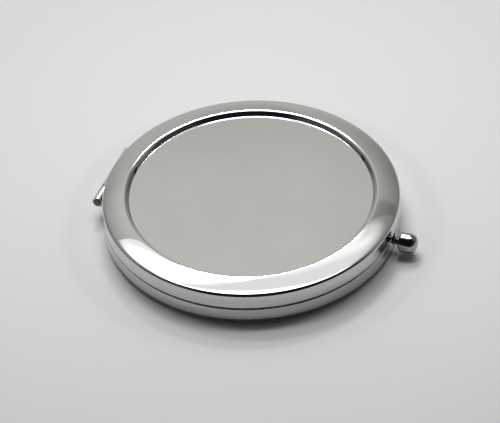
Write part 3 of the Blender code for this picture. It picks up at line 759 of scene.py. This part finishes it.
def make_trims(plate):
    """The base's window shows the whole latch, the lid's only lets the prongs through."""
    half = SLIDE_HALF_WIDTH - SLIDE_BAR / 2
    window = block(-half, half, -CASE_RADIUS, -(POST_INSIDE - SEAT_GAP))
    ring = make_trim("base_trim_ring", BASE_FRAME_HIGH.z, BASE_FRAME_LOW.z, 1, window)
    dress(ring, "base", "base_frame", plate)
    window = block(-half, half, -(PRONG_OUTSIDE + SEAT_GAP), -(NOSE_TIP - SEAT_GAP))
    ring = make_trim("lid_trim_ring", LID_FRAME_LOW.z, LID_FRAME_HIGH.z, -1, window)
    dress(ring, "lid", "lid_frame", plate)


def make_glasses(glass):
    """A flat glass in the lid, and in the base a magnifying one whose face is a shallow bowl."""
    low, high = LID_GLASS_LOW.z, LID_GLASS_HIGH.z
    flat = [(0, low, 0), (GLASS_RADIUS, low, GLASS_SEAM), (GLASS_RADIUS, high, GLASS_SEAM), (0, high, 0)]
    lid_glass = turned("lid_looking_glass", rounded(flat))
    dress(lid_glass, "lid", "lid_mirror", glass)
    reach = GLASS_RADIUS - GLASS_SEAM
    back = [(reach * step / ARC_STEPS, BASE_GLASS_LOW.z + MAGNIFIER_DIP * (step / ARC_STEPS) ** 2)
            for step in range(ARC_STEPS + 1)]
    rim = arc(reach, back[-1][1] + GLASS_SEAM, GLASS_SEAM, -90, 0, ROUND_STEPS)[1:]
    rim += arc(reach, BASE_GLASS_HIGH.z - GLASS_SEAM, GLASS_SEAM, 0, 90, ROUND_STEPS)[:-1]
    face = [(radius, height + GLASS_THICKNESS) for radius, height in reversed(back)]
    base_glass = turned("base_magnifying_glass", back + rim + face)
    dress(base_glass, "base", "base_mirror", glass)


def make_foam_discs(cells):
    """Foam discs that hold the glasses: flat in the lid, hollowed with the glass in the base."""
    low, high, reach = LID_PAD_LOW.z, LID_PAD_HIGH.z, LID_PAD_HIGH.x
    flat = [(0, low, 0), (reach, low, PAD_EDGE), (reach, high, PAD_EDGE), (0, high, 0)]
    lid_foam = turned("lid_foam_disc", rounded(flat))
    dress(lid_foam, "lid", "lid_mirror_pad", cells)
    low, high, reach = BASE_PAD_LOW.z, BASE_PAD_HIGH.z, BASE_PAD_HIGH.x
    dip = MAGNIFIER_DIP * (reach / (GLASS_RADIUS - GLASS_SEAM)) ** 2
    top = [(reach * step / ARC_STEPS, high - dip + dip * (step / ARC_STEPS) ** 2)
           for step in range(ARC_STEPS, -1, -1)]
    base_foam = turned("base_foam_disc", [(0, low), (reach, low)] + top)
    dress(base_foam, "base", "base_mirror_pad", cells)


def leaf_arc(radius, low_x, high_x):
    """Points on a circle about the case's centre, from one x to another, on the hinge side."""
    start = math.degrees(math.acos(low_x / radius))
    end = math.degrees(math.acos(high_x / radius))
    return arc(0, 0, radius, start, end, SMALL_STEPS)


def make_knuckle(name, low_x, high_x, up):
    """A strip curled round the pin, whose leaf runs into the case and along the inside of its wall."""
    slit = BORE_RADIUS - CURL_SLIT
    outer_end = math.degrees(math.asin(slit / BARREL_RADIUS))
    inner_end = math.degrees(math.asin(slit / BORE_RADIUS))
    curl = [(-BARREL_RADIUS, BARREL_RADIUS)]
    curl += arc(0, 0, BARREL_RADIUS, 90, -180 - outer_end, SMALL_STEPS)
    curl += arc(0, 0, BORE_RADIUS, -180 - inner_end, 90, SMALL_STEPS)
    curl += [(-BARREL_RADIUS, BORE_RADIUS)]
    section = [(HINGE_Y + across, HINGE_Z + up * height) for across, height in curl]
    knuckle = extruded(name, section, low_x, high_x, "YZ")
    far = HINGE_Z + up * BARREL_RADIUS
    near = far - up * HINGE_SHEET
    web = leaf_arc(LEAF_INSIDE, low_x, high_x) + [(high_x, HINGE_Y - BORE_RADIUS / 2),
                                                  (low_x, HINGE_Y - BORE_RADIUS / 2)]
    combine(knuckle, extruded("web", web, min(far, near), max(far, near), "XY"), "UNION")
    leaf = leaf_arc(LEAF_INSIDE, low_x, high_x) + leaf_arc(LEAF_OUTSIDE, high_x, low_x)
    box_low, box_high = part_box(KNUCKLE_NODES[name])
    leaf_low, leaf_high = (box_low.z, near) if up < 0 else (near, box_high.z)
    combine(knuckle, extruded("leaf", leaf, leaf_low, leaf_high, "XY"), "UNION")
    return ease_edges(knuckle, HINGE_EASE)


def make_hinge(plate, bare):
    """Three rolled knuckles and the pin with its peened ends."""
    for name, node in KNUCKLE_NODES.items():
        low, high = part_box(node)
        body = "lid" if node.startswith("lid") else "base"
        knuckle = make_knuckle(name, low.x, high.x, 1 if body == "lid" else -1)
        dress(knuckle, body, node, plate)
    head = PIN_HIGH.x - PIN_HEAD_THICKNESS
    half = [(PIN_RADIUS, 0, 0), (PIN_RADIUS, head, 0), (PIN_HEAD_RADIUS, head, HINGE_EASE),
            (PIN_HEAD_RADIUS, PIN_HIGH.x - PIN_HEAD_DOME, PIN_HEAD_ROUND), (0, PIN_HIGH.x, 0)]
    half = rounded(half)
    outline = [(radius, -along) for radius, along in reversed(half)] + half[1:]
    pin = turned("peened_hinge_pin", outline, SMALL_STEPS)
    aim(pin, (1, 0, 0), (0, HINGE_Y, HINGE_Z))
    dress(pin, "base", "hinge_pin", bare)


def make_button(plate, bare):
    """Knob and stepped stem, turned about the button's axis."""
    outer = -KNOB_LOW.y
    inside = -KNOB_HIGH.y
    socket = STEM_RADIUS + RUNNING_GAP
    shoulder = outer - KNOB_DOME
    outline = rounded([(0, inside + KNOB_SOCKET, 0), (socket, inside + KNOB_SOCKET, 0),
                       (socket, inside, EDGE_EASE), (KNOB_RADIUS - KNOB_CHAMFER, inside, EDGE_EASE),
                       (KNOB_RADIUS, inside + KNOB_CHAMFER, KNOB_CHAMFER / 2),
                       (KNOB_RADIUS, shoulder, KNOB_ROUND), (0, outer, 0)], steps=ARC_STEPS)
    knob = turned("push_knob", outline, KNOB_STEPS)
    aim(knob, (0, -1, 0), (0, 0, STEM_Z))
    dress(knob, "button", "button_knob", plate)
    tail, end = -STEM_HIGH.y, -STEM_LOW.y
    step = TAB_OUTSIDE + RUNNING_GAP
    outline = rounded([(0, tail, 0), (STEM_TAIL_RADIUS, tail, STEM_EASE),
                       (STEM_TAIL_RADIUS, step, STEM_EASE), (STEM_RADIUS, step, STEM_EASE),
                       (STEM_RADIUS, end, STEM_EASE), (0, end, 0)])
    stem = turned("stepped_stem", outline, SMALL_STEPS)
    aim(stem, (0, -1, 0), (0, 0, STEM_Z))
    dress(stem, "button", "button_stem", bare)


def stem_hole(inside, outside):
    """Cutter for the hole that the stem's thin end passes through."""
    radius = STEM_TAIL_RADIUS + RUNNING_GAP
    outline = [(0, inside - RUNNING_GAP), (radius, inside - RUNNING_GAP), (radius, outside + RUNNING_GAP),
               (0, outside + RUNNING_GAP)]
    return aim(turned("stem_hole", outline, SMALL_STEPS), (0, -1, 0), (0, 0, STEM_Z))


def upright(half_width, low_z, rim):
    """Outline of an ear with a round top about the stem's axis."""
    top = arc(0, STEM_Z, STEM_TAIL_RADIUS + RUNNING_GAP + rim, 0, 180, SMALL_STEPS)
    return [(-half_width, low_z), (half_width, low_z), (half_width, STEM_Z)] + top + [(-half_width, STEM_Z)]


def make_slide(sheet):
    """Slotted plate with a window, and the tab that the stem is fixed to."""
    half = [(SLIDE_HALF_WIDTH, -TAB_OUTSIDE), (SLIDE_HALF_WIDTH, -SLIDE_END),
            (SLIDE_SLOT_HALF_WIDTH, -SLIDE_END), (SLIDE_SLOT_HALF_WIDTH, -WINDOW_INSIDE),
            (WINDOW_HALF_WIDTH, -WINDOW_INSIDE), (WINDOW_HALF_WIDTH, -WINDOW_OUTSIDE)]
    mirrored = [(-across, along) for across, along in reversed(half)]
    outline = half + [(0, -WINDOW_OUTSIDE)] + mirrored + [(0, -TAB_OUTSIDE)]
    low_z = SLIDE_LOW.z
    slide = extruded("sliding_latch_plate", outline, low_z, low_z + SLIDE_SHEET, "XY")
    tab = upright(TAB_HALF_WIDTH, low_z, TAB_RIM)
    combine(slide, extruded("tab", tab, -TAB_OUTSIDE, -TAB_INSIDE, "XZ"), "UNION")
    combine(slide, stem_hole(TAB_INSIDE, TAB_OUTSIDE), "DIFFERENCE")
    ease_edges(slide, LATCH_EASE)
    dress(slide, "button", "latch_slide", sheet)


def make_bracket(sheet):
    """Two lipped rails joined by a cross plate, with the post that holds the stem's end."""
    rail_outside, inside = BRACKET_HIGH.x, -BRACKET_HIGH.y
    rail_inside = rail_outside - BRACKET_SHEET
    low_z, lip_top = BRACKET_LOW.z, SLIDE_LOW.z + SLIDE_SHEET + SEAT_GAP + BRACKET_SHEET
    floor_top, lip_bottom = low_z + BRACKET_SHEET, lip_top - BRACKET_SHEET
    cross = block(-rail_outside, rail_outside, -POST_OUTSIDE, -inside)
    bracket = extruded("latch_guide_rails", cross, low_z, floor_top, "XY")
    post = upright(POST_HALF_WIDTH, low_z, POST_RIM)
    combine(bracket, extruded("post", post, -POST_OUTSIDE, -POST_INSIDE, "XZ"), "UNION")
    section = [(rail_inside - RAIL_LIP, low_z), (rail_outside, low_z), (rail_outside, lip_top),
               (rail_inside - RAIL_LIP, lip_top), (rail_inside - RAIL_LIP, lip_bottom),
               (rail_inside, lip_bottom), (rail_inside, floor_top), (rail_inside - RAIL_LIP, floor_top)]
    for side in (1, -1):
        outline = [(side * across, height) for across, height in section]
        combine(bracket, extruded("rail", outline, BRACKET_LOW.y, BRACKET_HIGH.y, "XZ"), "UNION")
    combine(bracket, stem_hole(POST_INSIDE, POST_OUTSIDE), "DIFFERENCE")
    ease_edges(bracket, LATCH_EASE)
    dress(bracket, "base", "latch_bracket", sheet)


def make_catch(sheet):
    """A plate under the bezel whose two prongs reach down through the slide's window."""
    top, low = CATCH_HIGH.z, CATCH_LOW.z
    plate = block(-PRONG_OUTER_HALF, PRONG_OUTER_HALF, CATCH_LOW.y, -PRONG_INSIDE)
    catch = extruded("lid_fork_catch", plate, top - PRONG_THICKNESS, top, "XY")
    prong = [(-PRONG_INSIDE, top), (-PRONG_OUTSIDE, top), (-PRONG_OUTSIDE, low), (-PRONG_INSIDE, low),
             (-NOSE_TIP, low + NOSE_HEIGHT), (-PRONG_INSIDE, low + NOSE_HEIGHT)]
    for side in (1, -1):
        ends = sorted((side * PRONG_INNER_HALF, side * PRONG_OUTER_HALF))
        combine(catch, extruded("prong", prong, ends[0], ends[1], "YZ"), "UNION")
    ease_edges(catch, LATCH_EASE)
    dress(catch, "lid", "lid_catch", sheet)


def make_spring(wire):
    """Coil of round wire between the bracket's post and the slide's tab, with closed ends."""
    coil_radius = STEM_TAIL_RADIUS + SPRING_CLEARANCE + SPRING_WIRE / 2
    start = POST_OUTSIDE + RUNNING_GAP + SPRING_WIRE / 2
    length = TAB_INSIDE - RUNNING_GAP - SPRING_WIRE / 2 - start
    count = round(SPRING_TURNS * TURN_STEPS)
    mesh = bmesh.new()
    rings = []
    for index in range(count + 1):
        share = index / count
        angle = math.tau * SPRING_TURNS * share
        outward = Vector((math.cos(angle), 0, math.sin(angle)))
        middle = outward * coil_radius + Vector((0, -start - length * share, STEM_Z))
        ring = []
        for side in range(WIRE_SIDES):
            turn = math.tau * side / WIRE_SIDES
            offset = outward * math.cos(turn) + Vector((0, 1, 0)) * math.sin(turn)
            ring.append(mesh.verts.new(middle + offset * SPRING_WIRE / 2))
        rings.append(ring)
    for near, far in zip(rings, rings[1:]):
        for side in range(WIRE_SIDES):
            after = (side + 1) % WIRE_SIDES
            mesh.faces.new((near[side], near[after], far[after], far[side]))
    mesh.faces.new(rings[0])
    mesh.faces.new(rings[-1])
    spring = as_object("coiled_latch_spring", mesh)
    dress(spring, "base", "latch_spring", wire)
    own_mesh(spring)


def make_camera():
    """The photograph's viewpoint, with its small tilt; gives the level direction away from the viewer."""
    level = Vector((math.cos(CAMERA_AZIMUTH), math.sin(CAMERA_AZIMUTH), 0))
    back = level * math.cos(CAMERA_ELEVATION) + Vector((0, 0, math.sin(CAMERA_ELEVATION)))
    forward = -back
    right = forward.cross(Vector((0, 0, 1))).normalized()
    turn = Matrix.Rotation(CAMERA_YAW, 3, right.cross(forward))
    forward, right = turn @ forward, turn @ right
    forward = Matrix.Rotation(CAMERA_PITCH, 3, right) @ forward
    up = right.cross(forward)
    turn = Matrix.Rotation(CAMERA_ROLL, 3, forward)
    right, up = turn @ right, turn @ up
    data = bpy.data.cameras.new("camera")
    data.lens = CAMERA_LENS
    data.sensor_width = CAMERA_SENSOR
    camera = bpy.data.objects.new("camera", data)
    bpy.context.scene.collection.objects.link(camera)
    place = Matrix((right, up, -forward)).transposed().to_4x4()
    place.translation = back * CAMERA_DISTANCE + Vector((0, 0, CAMERA_TARGET_Z))
    camera.matrix_world = place
    bpy.context.scene.camera = camera
    return -level


def wall_light(graph, u, v, w, p, q):
    """Light of the walls: pale on the far side, dark on the viewer's side."""
    aside = graph.math("ABSOLUTE", v)

    # Upper far side: brighter towards the softbox, with a dark gap to the right, a dip and a faint streak
    upper = graph.times(graph.ramp(p, *UPPER_TONE), graph.ramp(v, *UPPER_RIGHT), graph.ramp(v, *UPPER_LEFT))
    gap = graph.times(graph.ramp(p, *GAP_START), graph.ramp(p, *GAP_END), graph.ramp(q, *GAP_DEPTH))
    dip = graph.times(graph.ramp(p, *DIP_DEPTH), graph.ramp(graph.math("ABSOLUTE", q), *DIP_SIDES))
    streak = graph.times(graph.ramp(q, *STREAK_DEPTH), graph.ramp(q, *STREAK_END))
    darker = graph.math("ADD", gap, graph.math("ADD", dip, streak))
    upper = graph.times(upper, graph.math("SUBTRACT", 1, darker))

    # Lower far side: palest in the middle
    lower = graph.times(graph.ramp(aside, *LOWER_TONE),
                        graph.ramp(v, *LOWER_RIGHT), graph.ramp(v, *LOWER_LEFT))
    far = graph.lerp(graph.ramp(w, *FAR_SPLIT), lower, upper)

    # Viewer's side: dark in the middle, paler left and right, more so low down
    low_down = graph.times(graph.ramp(aside, *NEAR_LOW_TONE), graph.ramp(w, *NEAR_LOW_TOP))
    near = graph.math("ADD", graph.ramp(aside, *NEAR_TONE), low_down)
    near = graph.times(near, graph.ramp(v, *NEAR_RIGHT), graph.ramp(v, *NEAR_LEFT))
    return graph.lerp(graph.ramp(u, *NEAR_START), far, near)


def softbox_light(graph, p, q, reach, wall):
    """Light of the softbox before the walls, with the lamp at its far edge."""
    # Paler middle, brighter at its rear, which fades to the right
    rim = graph.math("SUBTRACT", p, graph.times(LEFT_END_SLOPE, q))
    left_end = graph.ramp(rim, *LEFT_END)
    edge = graph.math("ADD", p, graph.times(MIDDLE_END_SLOPE, graph.math("MAXIMUM", q, 0)))
    end = graph.lerp(graph.ramp(q, *LEFT_BLEND), graph.ramp(edge, *MIDDLE_END), left_end)
    middle = graph.times(graph.ramp(p, *MIDDLE_START), end, reach)
    fade = graph.times(graph.ramp(p, *FADE_START), graph.ramp(q, *FADE_DEPTH))
    glow = graph.times(graph.ramp(p, *MIDDLE_LIGHT), graph.math("SUBTRACT", 1, fade))
    light = graph.lerp(middle, wall, glow)

    # Strong left part with a brighter core, its right side on a slant
    slope = graph.times(LEFT_SIDE_SLOPE, graph.math("SUBTRACT", p, LEFT_SIDE_PLACE))
    slant = graph.math("SUBTRACT", q, slope)
    left = graph.times(graph.ramp(p, *LEFT_START), left_end, graph.ramp(slant, *LEFT_SIDE), reach)
    core = graph.times(graph.ramp(p, *CORE_START), graph.ramp(p, *CORE_END), graph.ramp(q, *CORE_LEFT))
    light = graph.lerp(left, light, graph.lerp(core, graph.ramp(p, *LEFT_LIGHT), CORE_LIGHT))

    # Strong near strip, then the lamp
    strip = graph.times(graph.ramp(p, *BOX_START), graph.ramp(p, *STRIP_END), reach)
    light = graph.lerp(strip, light, graph.ramp(p, *STRIP_LIGHT))
    lamp = graph.times(graph.ramp(p, *LAMP_START), graph.ramp(p, *LAMP_END),
                       graph.ramp(q, *LAMP_LEFT), graph.ramp(q, *LAMP_RIGHT))
    return graph.lerp(lamp, light, LAMP_LIGHT)


def make_world(away):
    """A plain studio: a softbox overhead, a lamp at its far edge, pale far walls, a dark viewer's side."""
    world = bpy.data.worlds.new("studio")
    bpy.context.scene.world = world
    world.use_nodes = True
    graph = Graph(world.node_tree)
    background = world.node_tree.nodes["Background"]

    # A direction's parts away from the viewer, to the right and up, and the first two over its height
    direction = world.node_tree.nodes.new("ShaderNodeTexCoord").outputs["Generated"]
    u = graph.dot(direction, tuple(away))
    v = graph.dot(direction, tuple(rightwards(away)))
    w = graph.dot(direction, (0, 0, 1))
    height = graph.math("MAXIMUM", w, LEAST_HEIGHT)
    p = graph.math("DIVIDE", u, height)
    q = graph.math("DIVIDE", v, height)

    wall = wall_light(graph, u, v, w, p, q)
    reach = graph.times(graph.ramp(q, *BOX_LEFT), graph.ramp(q, *BOX_RIGHT))
    box = graph.times(graph.ramp(p, *BOX_START), graph.ramp(p, *BOX_END), reach)
    tint = graph.blend(graph.ramp(u, *NEAR_TINT_SIDE), WALL_TINT, NEAR_TINT)
    graph.feed(background.inputs["Color"], graph.blend(box, tint, BOX_TINT))
    graph.feed(background.inputs["Strength"], softbox_light(graph, p, q, reach, wall))


def make_floor(away):
    """A matt tabletop whose colour holds painted light and shade: paler away from the viewer, darker round
    the case, far out and near right.
    """
    mesh = bmesh.new()
    bmesh.ops.create_circle(mesh, cap_ends=True, segments=FLOOR_STEPS, radius=FLOOR_RADIUS,
                            matrix=Matrix.Translation((0, 0, -FLOOR_DROP)))
    floor = as_object("tabletop", mesh)
    material, shader, graph, coordinates = principled("tabletop")
    paper = graph.noise(coordinates, *PAPER_NOISE)
    # Painted light: the colour pales away from the viewer
    tone = graph.ramp(graph.dot(coordinates, tuple(away)), *FLOOR_PAINTED_LIGHT_SPAN)
    colour = graph.blend(tone, FLOOR_NEAR_PAINTED_SHADE, FLOOR_FAR_PAINTED_LIGHT)
    length = graph.length(coordinates)
    # Painted shade: darker far out from the case
    colour = graph.blend(graph.ramp(length, *OUTER_PAINTED_SHADE_SHARE), colour, SHADE_BLACK)
    # Painted shadow: a bluish darker ring round the case
    ring = graph.times(graph.ramp(length, *SHADE_RING_START), graph.ramp(length, *SHADE_RING_END))
    colour = graph.blend(ring, colour, SHADE_RING_COLOUR)
    # Painted shade: darker towards the near right corner
    corner = graph.dot(coordinates, tuple((rightwards(away) - away).normalized()))
    colour = graph.blend(graph.ramp(corner, *CORNER_PAINTED_SHADE_SHARE), colour, SHADE_BLACK)
    colour = graph.blend(graph.ramp(paper, *SPECKLE_SHARE), colour, FLOOR_SPECKLE)
    graph.feed(shader.inputs["Base Color"], colour)
    graph.feed(shader.inputs["Roughness"], graph.ramp(paper, *FLOOR_ROUGHNESS))
    shader.inputs["Specular IOR Level"].default_value = FLOOR_SPECULAR
    floor.data.materials.append(material)


def build():
    """Camera and studio first, then the piece of each CAD node."""
    away = make_camera()
    make_world(away)
    make_floor(away)
    plate = chrome("polished_chrome", *PLATE)
    trim = chrome("trim_chrome", *TRIM_PLATE)
    glass = mirror_glass("silvered_glass", GLASS_COLOUR)
    # Near-black turned steel: a dark finish deepened with painted shade
    turned_steel_with_painted_shade = steel("turned_steel_with_painted_shade", *TURNED_STEEL_WITH_PAINTED_SHADE)
    # The knob's darker plate is painted shade
    knob_plate_with_painted_shade = chrome("knob_chrome", *KNOB_PLATE_WITH_PAINTED_SHADE)
    knuckle_plate = chrome("rolled_knuckle_chrome", *KNUCKLE_PLATE)
    stamped_steel = steel("stamped_steel", *STAMPED_STEEL)
    spring_wire = steel("drawn_wire", *SPRING_STEEL)
    cells = foam("closed_cell_foam", FOAM_COLOUR)
    make_base_cover(plate)
    make_lid_cover(plate)
    make_trims(trim)
    make_glasses(glass)
    make_foam_discs(cells)
    make_hinge(knuckle_plate, turned_steel_with_painted_shade)
    make_button(knob_plate_with_painted_shade, turned_steel_with_painted_shade)
    make_slide(stamped_steel)
    make_bracket(stamped_steel)
    make_catch(stamped_steel)
    make_spring(spring_wire)
    bpy.context.scene.view_settings.view_transform = "Standard"


build()
